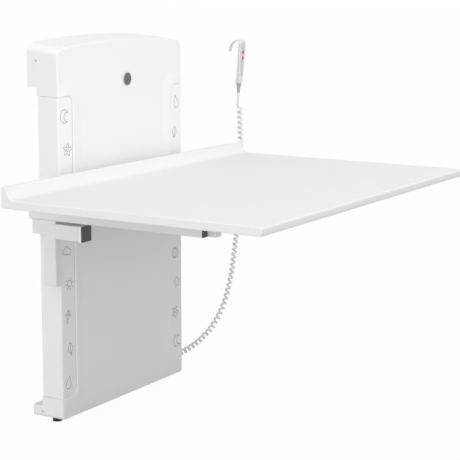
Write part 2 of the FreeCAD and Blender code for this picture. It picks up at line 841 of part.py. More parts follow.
# Cross tubes: three flat tubes over the rails, under the table top.
for number, place_name in enumerate(("rear", "middle", "front")):
    cross = new_body(f"cross_tube_{place_name}")
    flat = new_sketch(cross, "YZ_Plane", f"-{ARM_OUT}")
    rear = f"(-cross_rear - {number}*cross_pitch)"
    front = f"({rear} - cross_depth)"
    rectangle(flat, front, rear, RAIL_TOP, TABLE_FOOT)
    rectangle(
        flat,
        f"{front} + tube_wall",
        f"{rear} - tube_wall",
        f"{RAIL_TOP} + tube_wall",
        f"{TABLE_FOOT} - tube_wall",
    )
    tube = grow(cross, flat, f"2*{ARM_OUT}")
    edges_y = [value(front), value(rear)]
    soften(
        cross,
        tube,
        "tube_corner",
        lambda box: box.XLength > 1 and any(near(box.YMin, at) for at in edges_y),
    )
    keep(cross, f"cross_tube_{place_name}")

# Table top: one board with a coved lip along its rear edge.
table = new_body("table_top")
flat = new_sketch(table, "YZ_Plane", "-table_width/2")
TABLE_FRONT = f"({TABLE_REAR} + table_depth)"
LIP_TOP = "(table_height + lip_height)"
corners = [
    (f"-{TABLE_FRONT}", TABLE_FOOT),
    (f"-{TABLE_REAR}", TABLE_FOOT),
    (f"-{TABLE_REAR}", f"{LIP_TOP} - lip_round"),
    (f"-{TABLE_REAR} - lip_round", LIP_TOP),
    (f"-{TABLE_REAR} - lip_top + lip_round", LIP_TOP),
    (f"-{TABLE_REAR} - lip_top", f"{LIP_TOP} - lip_round"),
    (f"-{TABLE_REAR} - lip_foot", "table_height"),
    (f"-{TABLE_FRONT}", "table_height"),
]
outline(flat, corners, {2: ("lip_round", 1), 4: ("lip_round", 1), 5: ("lip_cove", -1)})
board = grow(table, flat, "table_width")
front_y = -value(TABLE_FRONT)
cornered = soften(
    table,
    board,
    "table_corner",
    lambda box: near(box.YMin, front_y) and near(box.YMax, front_y) and box.ZLength > 1,
)
top_z = value("table_height")
foot_y = -value(f"{TABLE_REAR} + lip_foot")
soften(
    table,
    cornered,
    "table_edge",
    lambda box: near(box.ZMin, top_z) and near(box.ZMax, top_z) and not near(box.YMin, foot_y),
)
keep(table, "table_top")


# Handset: a front shell and a back shell with a hollow curve and the hook, drawn from a point
# under the hook and hung there with a slight lean.
def hang(item):
    """Set a piece of the handset down under the hook, leaning with its foot to the wall."""
    seat = Vector(value("handset_across"), -value("hook_reach"), value(f"hook_height - {ORIGIN}"))
    item.Placement = FreeCAD.Placement(seat, FreeCAD.Rotation(Vector(1, 0, 0), value("handset_lean")))
    return item


def hung_body(name):
    return hang(doc.addObject("PartDesign::Body", name + "_body"))


HANDSET_MIDDLE = "(handset_inset + handset_depth/2)"
HANDSET_FACE = "(handset_inset + handset_depth)"
HANDSET_SPLIT = f"({HANDSET_FACE} - front_shell)"


def handset_outline(flat):
    """Front view of the handset: a rounded head that tapers to the grip's foot."""
    top = "handset_width/2"
    foot = "handset_foot_width/2"
    corners = [
        (f"-{foot} + handset_foot_corner", "-handset_length"),
        (f"{foot} - handset_foot_corner", "-handset_length"),
        (foot, "-handset_length + handset_foot_corner"),
        (top, "handset_top - handset_corner"),
        (f"{top} - handset_corner", "handset_top"),
        (f"-{top} + handset_corner", "handset_top"),
        (f"-{top}", "handset_top - handset_corner"),
        (f"-{foot}", "-handset_length + handset_foot_corner"),
    ]
    foot_arc = ("handset_foot_corner", 1)
    head_arc = ("handset_corner", 1)
    outline(flat, corners, {1: foot_arc, 3: head_arc, 5: head_arc, 7: foot_arc})


BUTTON_HEIGHTS = (("up", "-button_drop"), ("down", "-button_drop - button_pitch"))
BUTTON_WELL = "(button_height - button_proud - key_plate_thickness + button_travel + button_gap)"

handset_front = hung_body("handset_front")
flat = new_sketch(handset_front, "XZ_Plane", HANDSET_SPLIT)
handset_outline(flat)
shell = grow(handset_front, flat, "front_shell")
shell_y = -value(HANDSET_FACE)
shell = soften(
    handset_front,
    shell,
    "handset_front_round",
    lambda box: near(box.YMin, shell_y) and near(box.YMax, shell_y),
)
flat = new_sketch(handset_front, "XZ_Plane", f"{HANDSET_FACE} - {BUTTON_WELL}")
for name, height in BUTTON_HEIGHTS:
    ring(flat, "0", height, "button_diameter + 2*button_gap")
cut(handset_front, flat, f"{BUTTON_WELL} + 1")
keep(handset_front, "handset_front")

handset_back = hung_body("handset_back")
flat = new_sketch(handset_back, "YZ_Plane", "-handset_width/2")
corners = [
    (f"-{HANDSET_SPLIT}", "-handset_length"),
    ("-handset_inset", "-handset_length"),
    ("-head_inset", "handset_top"),
    (f"-{HANDSET_SPLIT}", "handset_top"),
]
outline(flat, corners, {1: ("back_curve", -1)})
grow(handset_back, flat, "handset_width")
flat = new_sketch(handset_back, "XZ_Plane", "handset_inset - 1")
rectangle(flat, "-handset_width", "handset_width", "-2*handset_length", "handset_length")
handset_outline(flat)
shell = cut(handset_back, flat, "handset_depth")
split_y = -value(HANDSET_SPLIT)
soften(handset_back, shell, "handset_back_round", lambda box: box.YMin > split_y + 0.5)
flat = new_sketch(handset_back, "YZ_Plane", "-hook_width/2")
inner = "(hook_radius - hook_root)"
outer = f"({inner} + hook_thickness)"
crown = "(handset_top - hook_sink)"
level = f"({crown} - hook_thickness - hook_radius)"
bed = f"({crown} - hook_thickness - hook_fillet)"
corners = [
    (inner, f"{level} - hook_drop"),
    (outer, f"{level} - hook_drop"),
    (outer, level),
    ("-hook_root", crown),
    (f"-{HANDSET_SPLIT} + 1", crown),
    (f"-{HANDSET_SPLIT} + 1", bed),
    ("-hook_root - hook_fillet", bed),
    ("-hook_root", f"{crown} - hook_thickness"),
    (inner, level),
]
arcs = {
    0: ("0.6*hook_thickness", 1),
    2: ("hook_radius + hook_thickness", 1),
    6: ("hook_fillet", -1),
    7: ("hook_radius", -1),
}
outline(flat, corners, arcs)
grow(handset_back, flat, "hook_width")
keep(handset_back, "handset_back")

# Key plate: thin label plate on the handset's face with a round window for each button.
key_plate = hung_body("key_plate")
flat = new_sketch(key_plate, "XZ_Plane", HANDSET_FACE)
half = "key_plate_width/2"
foot_half = "key_plate_foot_width/2"
top = "-key_plate_top"
foot = "(-key_plate_top - key_plate_length)"
corners = [
    (f"-{foot_half} + key_plate_foot_corner", foot),
    (f"{foot_half} - key_plate_foot_corner", foot),
    (foot_half, f"{foot} + key_plate_foot_corner"),
    (half, f"{top} - key_plate_corner"),
    (f"{half} - key_plate_corner", top),
    (f"-{half} + key_plate_corner", top),
    (f"-{half}", f"{top} - key_plate_corner"),
    (f"-{foot_half}", f"{foot} + key_plate_foot_corner"),
]
foot_arc = ("key_plate_foot_corner", 1)
top_arc = ("key_plate_corner", 1)
outline(flat, corners, {1: foot_arc, 3: top_arc, 5: top_arc, 7: foot_arc})
for name, height in BUTTON_HEIGHTS:
    ring(flat, "0", height, "button_diameter + 2*button_gap")
grow(key_plate, flat, "key_plate_thickness")
keep(key_plate, "key_plate")

# Buttons: two round keys, up and down, that travel into the handset.
BUTTON_FACE = f"({HANDSET_FACE} + key_plate_thickness + button_proud)"
for name, height in BUTTON_HEIGHTS:
    button = hung_body(f"button_{name}")
    flat = new_sketch(button, "XZ_Plane", f"{BUTTON_FACE} - button_height")
    ring(flat, "0", height, "button_diameter")
    key = grow(button, flat, "button_height")
    button_y = -value(BUTTON_FACE)
    soften(button, key, "button_proud/2", lambda box: near(box.YMin, button_y) and near(box.YMax, button_y))
    keep(button, f"button_{name}")

# Strain relief: tapered rubber sleeve under the handset, with the straight end of the cord.
relief = hung_body("strain_relief")
flat = new_sketch(relief, "XZ_Plane")
corners = [
    ("0", "0"),
    ("0", "-relief_length"),
    ("relief_tip/2", "-relief_length"),
    ("relief_neck/2", "-relief_collar_height"),
    ("relief_collar/2", "-relief_collar_height"),
    ("relief_collar/2", "0"),
]
outline(flat, corners)
spin(relief, flat, "Z_Axis")
relief.Placement = relief.Placement.multiply(
    FreeCAD.Placement(Vector(0, -value(HANDSET_MIDDLE), -value("handset_length")), FreeCAD.Rotation())
)
keep(relief, "strain_relief")

tail = doc.addObject("Part::Cylinder", "cord_tail")
tail.setExpression("Radius", bound("cord_diameter/2"))
tail.setExpression("Height", bound("cord_tail"))
tail_start = Vector(0, 0, -value("relief_length + cord_tail"))
tail.Placement = relief.Placement.multiply(FreeCAD.Placement(tail_start, FreeCAD.Rotation()))
keep(tail, "cord_tail")

# Cord gland: grommet where the cord leaves the column's foot on the right.
gland = doc.addObject("PartDesign::Body", "cord_gland_body")
place(gland, HALF, "-gland_inset", "gland_height")
flat = new_sketch(gland, "XZ_Plane")
corners = [
    ("-cover_wall - bracket_gap", "0"),
    ("gland_length", "0"),
    ("gland_length", "gland_tip/2"),
    ("gland_flange_thickness", "gland_neck/2"),
    ("gland_flange_thickness", "gland_flange/2"),
    ("0", "gland_flange/2"),
    ("0", "gland_spigot/2"),
    ("-cover_wall - bracket_gap", "gland_spigot/2"),
]
outline(flat, corners)
spin(gland, flat, "X_Axis")
keep(gland, "cord_gland")


# Curly cord: the fat tube that its coils fill, from the tail down to the gland.
# Heights count from the column's foot; the points are chosen by hand along the hanging line.
def rounded_path(points):
    """Straight runs joined by the largest tangent arcs that they leave room for."""
    edges = []
    radii = []
    at = points[0]
    for before, here, after in zip(points, points[1:], points[2:]):
        inward = here - before
        outward = after - here
        run = min(inward.Length, outward.Length)
        turn = inward.getAngle(outward)
        trim = 0.45 * run
        radius = trim / math.tan(turn / 2)
        radii.append(radius)
        start = here - inward * (trim / inward.Length)
        end = here + outward * (trim / outward.Length)
        centre_way = (end - here).normalize() + (start - here).normalize()
        depth = radius / math.cos(turn / 2) - radius
        edges.append(Part.LineSegment(at, start).toShape())
        edges.append(Part.Arc(start, here + centre_way.normalize() * depth, end).toShape())
        at = end
    edges.append(Part.LineSegment(at, points[-1]).toShape())
    return Part.Wire(edges), radii


cord_end = Vector(value(f"{HALF} + gland_length"), -value("gland_inset"), value("gland_height"))
tail_end = tail.Placement.Base + Vector(0, 0, value(ORIGIN))
route = [
    tail_end + Vector(3, -5, 0),
    Vector(768, -50, 742),
    Vector(771, -50, 640),
    Vector(768, -49, 530),
    Vector(755, -48, 425),
    Vector(736, -47, 330),
    Vector(715, -46.5, 240),
    Vector(674, -46, 150),
    Vector(600, -46, 82),
    Vector(505, -46, 46),
    Vector(415, -46, 33),
    cord_end,
]
path, radii = rounded_path(route)
coil_radius = value("coil_diameter") / 2
start_way = (route[1] - route[0]).normalize()
section = Part.Wire(Part.Circle(route[0], start_way, coil_radius).toShape())
cord = doc.addObject("Part::Feature", "curly_cord")
cord.Shape = path.makePipeShell([section], True, True)
place(cord)
keep(cord, "curly_cord")
ideal = math.pi * coil_radius**2 * path.Length
print("cord radii", [round(radius) for radius in radii], "path", round(path.Length, 1))
print("cord volume over section times length", round(cord.Shape.Volume / ideal, 4))

doc.recompute()
for item in doc.Objects:
    if {"Invalid", "Error"} & set(item.State):
        raise RuntimeError(f"{item.Label} did not rebuild: {item.State}")
for node in nodes:
    if node.Shape.isNull() or not node.Shape.isValid():
        raise RuntimeError(f"{node.Label} has no valid shape")
os.makedirs("parts", exist_ok=True)
for node in nodes:
    node.Shape.exportStep(f"parts/{node.Label}.step")
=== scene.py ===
import math

import bmesh
import bpy
from mathutils import Matrix, Vector
from mathutils.geometry import interpolate_bezier


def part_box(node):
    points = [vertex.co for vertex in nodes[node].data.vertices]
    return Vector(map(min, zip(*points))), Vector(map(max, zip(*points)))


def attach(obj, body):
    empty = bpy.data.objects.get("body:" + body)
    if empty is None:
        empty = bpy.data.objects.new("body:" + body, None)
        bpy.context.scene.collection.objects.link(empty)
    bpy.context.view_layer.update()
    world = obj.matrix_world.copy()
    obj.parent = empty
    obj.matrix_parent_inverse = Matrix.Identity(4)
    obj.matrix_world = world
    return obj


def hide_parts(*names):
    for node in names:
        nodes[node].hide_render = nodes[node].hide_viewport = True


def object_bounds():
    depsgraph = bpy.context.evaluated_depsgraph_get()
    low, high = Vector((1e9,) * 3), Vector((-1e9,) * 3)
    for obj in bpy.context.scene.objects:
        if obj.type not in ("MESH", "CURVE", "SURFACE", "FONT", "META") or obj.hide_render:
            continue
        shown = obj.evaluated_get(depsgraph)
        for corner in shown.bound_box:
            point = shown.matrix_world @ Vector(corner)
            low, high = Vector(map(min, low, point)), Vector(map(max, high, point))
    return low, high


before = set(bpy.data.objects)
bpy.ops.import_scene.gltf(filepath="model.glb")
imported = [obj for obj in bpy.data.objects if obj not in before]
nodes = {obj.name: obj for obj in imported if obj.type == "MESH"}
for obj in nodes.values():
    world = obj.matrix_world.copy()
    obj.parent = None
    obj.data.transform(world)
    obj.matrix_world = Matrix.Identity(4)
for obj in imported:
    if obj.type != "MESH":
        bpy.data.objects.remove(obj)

cad_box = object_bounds()

# Wall frame: plate, brackets and lead screw of rolled steel sheet and bar, bright zinc plated.
# The plate is bolted to the wall, and the brackets carry the cover at its head and foot.


class Link:
    """A socket of a node tree; arithmetic on it adds Math nodes."""

    def __init__(self, tree, socket=None):
        self.tree = tree
        self.socket = socket

    def add(self, kind, settings=None, inputs=None, output=0):
        """Add a node with its settings, then its inputs as values or links."""
        node = self.tree.nodes.new(kind)
        for name, setting in (settings or {}).items():
            setattr(node, name, setting)
        for name, given in (inputs or {}).items():
            if isinstance(given, Link):
                self.tree.links.new(given.socket, node.inputs[name])
            else:
                node.inputs[name].default_value = given
        return Link(self.tree, node.outputs[output] if node.outputs else None)

    def math(self, operation, first, second=0.0):
        return self.add("ShaderNodeMath", {"operation": operation}, {0: first, 1: second})

    def __add__(self, other):
        return self.math("ADD", self, other)

    def __radd__(self, other):
        return self.math("ADD", other, self)

    def __sub__(self, other):
        return self.math("SUBTRACT", self, other)

    def __rsub__(self, other):
        return self.math("SUBTRACT", other, self)

    def __mul__(self, other):
        return self.math("MULTIPLY", self, other)

    def __rmul__(self, other):
        return self.math("MULTIPLY", other, self)

    def __truediv__(self, other):
        return self.math("DIVIDE", self, other)

    def __lt__(self, other):
        return self.math("LESS_THAN", self, other)


class Finish:
    """A material on its shader: even values are set on the shader, varying ones are linked."""

    def __init__(self, name, **even):
        self.material = bpy.data.materials.new(name)
        self.material.use_nodes = True
        tree = self.material.node_tree
        self.shader = tree.nodes["Principled BSDF"]
        for socket, given in even.items():
            self.shader.inputs[socket.replace("_", " ")].default_value = given
        self.start = Link(tree)
        self.place = self.start.add("ShaderNodeTexCoord", output="Object")

    def noise(self, scale, detail=2.0, stretch=(1, 1, 1)):
        """Cloudy value from 0 to 1 at a scale per metre, drawn out along an axis where asked."""
        spread = self.start.add("ShaderNodeMapping", None, {"Vector": self.place, "Scale": stretch})
        inputs = {"Vector": spread, "Scale": scale, "Detail": detail}
        return self.start.add("ShaderNodeTexNoise", None, inputs)

    def blend(self, amount, first, second):
        """Colour between two, by a value."""
        inputs = {0: amount, 6: (*first, 1), 7: (*second, 1)}
        return self.start.add("ShaderNodeMix", {"data_type": "RGBA"}, inputs, output=2)

    def link(self, socket, given):
        self.start.tree.links.new(given.socket, self.shader.inputs[socket])

    def bump(self, height, strength, distance):
        inputs = {"Height": height, "Strength": strength, "Distance": distance}
        self.link("Normal", self.start.add("ShaderNodeBump", None, inputs))


def shade(color, factor):
    return tuple(part * factor for part in color)


def dress(finish, *names):
    """Give nodes of the frame a finish."""
    for name in names:
        data = nodes[name].data
        data.materials.clear()
        data.materials.append(finish.material)


def plated_steel(name, color, along, rough):
    """Bright plating with drawn streaks along the sheet and faint cloudy patches."""
    dull_patch = 0.86
    streak_rough = 0.16
    patch_rough = 0.08
    finish = Finish(name, Metallic=1.0)
    streak = finish.noise(scale=90, detail=3.0, stretch=along)
    patch = finish.noise(scale=7)
    finish.link("Base Color", finish.blend(patch, shade(color, dull_patch), color))
    finish.link("Roughness", rough + streak_rough * streak + patch_rough * patch)
    finish.bump(streak, strength=0.08, distance=0.0004)
    return finish


zinc = plated_steel("zinc_plate", color=(0.62, 0.63, 0.65), along=(1, 1, 0.04), rough=0.26)
dress(zinc, "wall_plate", "base_bracket", "head_bracket", "lead_screw")
dress(zinc, "carriage_plate", "drive_motor")

# Guide rails: drawn aluminium channels on the wall plate, with fine die lines along them.
# The glides of dark acetal run inside and carry the table's carriage.
drawn = plated_steel("drawn_aluminium", color=(0.72, 0.73, 0.74), along=(1, 1, 0.01), rough=0.3)
dress(drawn, "guide_rail_left", "guide_rail_right")


def moulded(name, color, rough, grain_scale, grain_depth, mottle=0.025):
    """Moulded plastic: eroded grain in the tool, faint flow marks in the colour."""
    grain_rough = 0.10
    flow_rough = 0.04
    finish = Finish(name)
    flow = finish.noise(scale=3.5, detail=3.0)
    grain = finish.noise(scale=grain_scale)
    finish.link("Base Color", finish.blend(flow, shade(color, 1 - mottle), color))
    finish.link("Roughness", rough + grain_rough * grain + flow_rough * flow)
    finish.bump(grain, strength=0.25, distance=grain_depth)
    return finish


acetal = moulded(
    "dark_acetal", color=(0.05, 0.05, 0.055), rough=0.4, grain_scale=900, grain_depth=0.0001,
)
dress(acetal, "glides")

# Drive and control box: closed black housings inside the column, with a coarse moulded grain.
# The drive rides on the carriage and climbs the lead screw; the control box stands at the foot.
housing = moulded(
    "housing_black", color=(0.022, 0.022, 0.024), rough=0.5, grain_scale=500, grain_depth=0.0003,
)
dress(housing, "control_box", "drive_case")

# Cover and side strips: white moulded shells with a fine satin grain. The cover is one piece
# over the whole column; the strips snap into its corner windows and leave a seam all round.
WHITE = (0.885, 0.895, 0.895)
SATIN_GRAIN = {"grain_scale": 1400, "grain_depth": 0.00006, "mottle": 0.012}
strip_lightness = 1.004
cover_white = moulded("cover_white", WHITE, rough=0.36, **SATIN_GRAIN)
strip_white = moulded("strip_white", shade(WHITE, strip_lightness), rough=0.34, **SATIN_GRAIN)
dress(cover_white, "front_cover")
dress(strip_white, "side_strip_left", "side_strip_right")

# Printed motifs: plain line drawings in grey on the front of each strip, one above the other,
# screen printed and so barely raised. Each is drawn within 1 of its middle and then sized.
SIDES = (("left", -1), ("right", 1))
motif_size = 0.020
motif_line = 0.0009
motif_rise = 0.00016
motif_first = -0.412
motif_pitch = 0.0965
motif_stagger = 0.005
motif_tilt = math.radians(9)
nib_sides = 8


def polar(reach, degrees):
    """Spot at a distance and an angle round the middle."""
    turn = math.radians(degrees)
    return reach * math.cos(turn), reach * math.sin(turn)


def arc(center, radius, start, end, count=18):
    """Points on part of a circle or, with two radii, of an ellipse; angles in degrees."""
    across, up = radius if isinstance(radius, tuple) else (radius, radius)
    turns = [math.radians(start + (end - start) * step / count) for step in range(count + 1)]
    return [
        (center[0] + across * math.cos(turn), center[1] + up * math.sin(turn))
        for turn in turns
    ]


def star():
    return [[polar(0.45 if step % 2 else 1.0, 90 + 36 * step) for step in range(11)]]


def moon():
    size = 0.95
    bite = 0.55
    horn = 42
    across, up = polar(1, horn)
    inner = math.hypot(across - bite, up)
    swing = math.degrees(math.atan2(up, across - bite))
    back = arc((0, 0), size, horn, 360 - horn, 30)
    return [back, arc((bite * size, 0), inner * size, -swing, swing - 360, 24)]


def cloud():
    puffs = arc((-0.55, -0.15), 0.36, 270, 95, 12)
    puffs += arc((-0.08, 0.16), 0.5, 165, 30, 14)
    puffs += arc((0.55, -0.1), 0.41, 80, -90, 14)
    return [puffs + [puffs[0]]]


def sun():
    rays = [[polar(reach, 45 * ray) for reach in (0.66, 0.95)] for ray in range(8)]
    return [arc((0, 0), 0.46, 0, 360, 28)] + rays


def drop():
    width = 0.82
    height = 0.95
    taper = 1.6
    turns = [math.tau * step / 40 for step in range(41)]
    edge = [
        (width * math.sin(turn) * math.sin(turn / 2) ** taper, height * math.cos(turn))
        for turn in turns
    ]
    return [edge]


def leaf():
    steps = [step / 20 for step in range(21)]
    edges = [
        [(half * math.sin(math.pi * step), 1.8 * step - 0.8) for step in steps]
        for half in (-0.5, 0.5)
    ]
    return edges + [[(0, -1.0), (0, 0.6)]]


def ball():
    return [
        arc((0, 0), 0.8, 0, 360, 32),
        arc((0, 0), (0.34, 0.8), -90, 90, 16),
        arc((0, 0), (0.34, 0.8), 90, 270, 16),
    ]


def flower():
    petals = 5
    turns = [360 * step / 70 for step in range(71)]
    edge = [polar(0.66 + 0.26 * math.cos(math.radians(petals * turn)), turn) for turn in turns]
    return [edge, arc((0, 0), 0.2, 0, 360)]


def kite():
    sail = [(0, 1.0), (0.58, 0.3), (0, -0.5), (-0.58, 0.3), (0, 1.0)]
    spars = [[(0, 1.0), (0, -0.5)], [(-0.58, 0.3), (0.58, 0.3)]]
    tail = [(0.12 * math.sin(step * 0.9), -0.5 - 0.045 * step) for step in range(12)]
    return [sail, *spars, tail]


MOTIFS = (drop, leaf, kite, sun, cloud, ball, star, flower, moon)


def new_tree(name, sizes):
    """Geometry tree with named inputs; gives the tree and a link to each input by name."""
    tree = bpy.data.node_groups.new(name, "GeometryNodeTree")
    tree.interface.new_socket("Geometry", in_out="INPUT", socket_type="NodeSocketGeometry")
    for size, kind in sizes.items():
        tree.interface.new_socket(size, in_out="INPUT", socket_type="NodeSocket" + kind)
    tree.interface.new_socket("Geometry", in_out="OUTPUT", socket_type="NodeSocketGeometry")
    entry = tree.nodes.new("NodeGroupInput")
    return tree, {socket.name: Link(tree, socket) for socket in entry.outputs if socket.name}


def close_tree(shape, material):
    """End a geometry tree: realise, give the material and pass the result out."""
    solid = shape.add("GeometryNodeRealizeInstances", None, {0: shape})
    inputs = {"Geometry": solid, "Shade Smooth": True}
    smooth = shape.add("GeometryNodeSetShadeSmooth", None, inputs)
    inputs = {"Geometry": smooth, "Material": material}
    dressed = shape.add("GeometryNodeSetMaterial", None, inputs)
    shape.add("NodeGroupOutput", None, {"Geometry": dressed})


def grow_mesh(name, mesh, tree, sizes):
    """Run a geometry tree on a mesh and keep the outcome as a plain mesh."""
    host = bpy.data.objects.new(name + "_host", mesh)
    bpy.context.scene.collection.objects.link(host)
    growth = host.modifiers.new("grow", "NODES")
    growth.node_group = tree
    for item in tree.interface.items_tree:
        if item.in_out == "INPUT" and item.name in sizes:
            growth[item.identifier] = sizes[item.name]
    depsgraph = bpy.context.evaluated_depsgraph_get()
    grown = bpy.data.meshes.new_from_object(host.evaluated_get(depsgraph), depsgraph=depsgraph)
    host.modifiers.remove(growth)
    bpy.data.objects.remove(host)
    grown.name = name
    return grown


def add_piece(name, mesh, body, replaced=()):
    """Put a finished mesh in the scene on its body."""
    piece = bpy.data.objects.new(name, mesh)
    bpy.context.scene.collection.objects.link(piece)
    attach(piece, body)
    if replaced:
        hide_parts(*replaced)


def print_and_shade_ink(name, color):
    """Flat colour with the faint unevenness of a mesh print, for screen ink and for painted shade.
    """
    thick_ink = 0.85
    ink_rough = 0.45
    spot_rough = 0.2
    finish = Finish(name)
    spots = finish.noise(scale=1800)
    finish.link("Base Color", finish.blend(spots, shade(color, thick_ink), color))
    finish.link("Roughness", ink_rough + spot_rough * spots)
    return finish


grey_ink = print_and_shade_ink("grey_ink", (0.30, 0.29, 0.29))


def drawn_lines(ink):
    """Tree that turns drawn edges into flat ribbons of ink."""
    tree, entry = new_tree("drawn_lines", {"Line": "Float", "Rise": "Float"})
    start = entry["Geometry"]
    lines = start.add("GeometryNodeMeshToCurve", None, {"Mesh": start})
    inputs = {"Resolution": nib_sides, "Radius": entry["Line"]}
    nib = start.add("GeometryNodeCurvePrimitiveCircle", None, inputs)
    inputs = {"Curve": lines, "Profile Curve": nib, "Fill Caps": True}
    ribbon = start.add("GeometryNodeCurveToMesh", None, inputs)
    flat = entry["Rise"] / entry["Line"]
    squeeze = start.add("ShaderNodeCombineXYZ", None, {"X": 1.0, "Y": flat, "Z": 1.0})
    inputs = {"Geometry": ribbon, "Scale": squeeze}
    close_tree(start.add("GeometryNodeTransform", None, inputs), ink.material)
    return tree


def line_mesh(name, lines):
    """Mesh of bare edges along drawn lines, flat in X and Z."""
    points = [(across, 0, up) for line in lines for across, up in line]
    edges = []
    first = 0
    for line in lines:
        edges += [(first + step, first + step + 1) for step in range(len(line) - 1)]
        first += len(line)
    mesh = bpy.data.meshes.new(name)
    mesh.from_pydata(points, edges, [])
    return mesh


ink_tree = drawn_lines(grey_ink)
for side, sign in SIDES:
    low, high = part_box(f"side_strip_{side}")
    middle = (low.x + high.x) / 2
    drawing = []
    for step, motif in enumerate(MOTIFS if sign < 0 else MOTIFS[::-1]):
        swing = sign * (-1) ** step
        turn = Matrix.Rotation(motif_tilt * swing, 2)
        place = Vector((middle + motif_stagger * swing, motif_first + motif_pitch * step))
        for line in motif():
            drawing.append([tuple(place + turn @ Vector(spot) * motif_size) for spot in line])
    sizes = {"Line": motif_line, "Rise": motif_rise}
    mesh = grow_mesh(f"strip_motifs_{side}", line_mesh("motif_lines", drawing), ink_tree, sizes)
    mesh.transform(Matrix.Translation((0, low.y, 0)))
    add_piece(f"strip_motifs_{side}", mesh, "column")

# Window rims: the cover's wall swells gently towards each window and ends there in a round
# rim, moulded with it, that stands over the edge of the strip and dies out at the corner.
rim_rise = 0.004
rim_swell = 0.045
rim_sink = 0.0002
rim_depth = 0.0015
rim_fade = 0.016
rim_crease = math.radians(50)
swell_steps = 12
fade_steps = 4
lug_reach = 0.005
window_corner = 0.020
column_corner = 0.005


def smooth_step(share):
    """Eased share, level at 0 and at 1."""
    return share * share * (3 - 2 * share)


def settle(form, name):
    """Plain mesh of a finished form."""
    mesh = bpy.data.meshes.new(name)
    form.to_mesh(mesh)
    form.free()
    return mesh


def join_rings(form, rings):
    """Faces between each ring of corners and the next."""
    for lower, upper in zip(rings, rings[1:]):
        for side in range(len(lower)):
            form.faces.new((lower[side - 1], lower[side], upper[side], upper[side - 1]))


def rim_section():
    """Outline across the rim, as distance from the window and height over the cover's face."""
    section = [(0, -rim_depth)] + arc((rim_rise, 0), rim_rise, 180, 90, count=8)
    for step in range(1, swell_steps + 1):
        share = step / swell_steps
        height = rim_rise * (1 - smooth_step(share)) - rim_sink * share
        section.append((rim_rise + rim_swell * share, height))
    return section + [(rim_rise + rim_swell, -rim_depth)]


def rim_path(edge, outer, low, high):
    """Spots along a window's edge with the way to the cover's face and the rim's height there."""
    bend = edge + window_corner
    shares = [step / fade_steps for step in range(fade_steps + 1)]
    fade = [(outer - rim_fade * share, share) for share in shares]
    path = [((across, high), (0, 1), grown) for across, grown in fade]
    for middle, first in ((high - window_corner, 90), (low + window_corner, 180)):
        spots = arc((bend, middle), window_corner, first, first + 90)
        ways = arc((0, 0), 1, first, first + 90)
        path += [(spot, way, 1) for spot, way in zip(spots, ways)]
    return path + [((across, low), (0, -1), grown) for across, grown in fade[::-1]]


def rim_mesh(name, path, sign):
    """Solid rim swept along its path, mirrored to its side of the column."""
    section = rim_section()
    form = bmesh.new()
    rings = []
    for (across, up), (aside, above), grown in path:
        ring = []
        for reach, rise in section:
            depth = -rise * grown if rise > 0 else -rise
            spot = (sign * (across + aside * reach), depth, up + above * reach)
            ring.append(form.verts.new(spot))
        rings.append(ring)
    join_rings(form, rings)
    form.faces.new(rings[0])
    form.faces.new(rings[-1])
    bmesh.ops.recalc_face_normals(form, faces=form.faces)
    mesh = settle(form, name)
    mesh.shade_smooth()
    mesh.set_sharp_from_angle(angle=rim_crease)
    mesh.materials.append(cover_white.material)
    return mesh


for side, sign in SIDES:
    low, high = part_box(f"side_strip_{side}")
    edge = min(abs(low.x), abs(high.x)) + lug_reach
    outer = max(abs(low.x), abs(high.x)) - column_corner
    mesh = rim_mesh(f"window_rim_{side}", rim_path(edge, outer, low.z, high.z), sign)
    mesh.transform(Matrix.Translation((0, low.y, 0)))
    add_piece(f"window_rim_{side}", mesh, "column")

# Badge: dark disc with a turned face under clear lacquer and a pale pressed rim round it,
# stuck in a shallow seat in the cover.
badge_low, badge_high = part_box("badge")
badge_center = (badge_low + badge_high) / 2
badge_radius = (badge_high.x - badge_low.x) / 2
badge_thickness = badge_high.y - badge_low.y
badge_rim_width = 0.0016
badge_rim_foot = 0.0008
badge_proud = 0.0004
seam_reach = 1e-7


def brushed_disc(name, color, center, rough):
    """Turned face: fine rings round its centre under clear lacquer."""
    dark_ring = 0.8
    light_ring = 1.25
    ring_rough = 0.12
    finish = Finish(name, Coat_Weight=0.6, Coat_Roughness=0.08)
    inputs = {"Vector": finish.place, "Location": tuple(-part for part in center)}
    local = finish.start.add("ShaderNodeMapping", None, inputs)
    settings = {"wave_type": "RINGS", "rings_direction": "Y"}
    inputs = {"Vector": local, "Scale": 320, "Distortion": 0.6}
    rings = finish.start.add("ShaderNodeTexWave", settings, inputs)
    colors = shade(color, dark_ring), shade(color, light_ring)
    finish.link("Base Color", finish.blend(rings, *colors))
    finish.link("Roughness", rough + ring_rough * rings)
    return finish


def turned_ring(name, outline, place, sides=48):
    """Ring turned round Z from a closed outline of (radius, height), then set in place."""
    form = bmesh.new()
    rings = []
    for radius, height in outline:
        spots = [(*polar(radius, 360 * side / sides), height) for side in range(sides)]
        rings.append([form.verts.new(spot) for spot in spots])
    join_rings(form, rings)
    bmesh.ops.remove_doubles(form, verts=form.verts, dist=seam_reach)
    bmesh.ops.recalc_face_normals(form, faces=form.faces)
    mesh = settle(form, name)
    mesh.shade_smooth()
    mesh.transform(place)
    return mesh


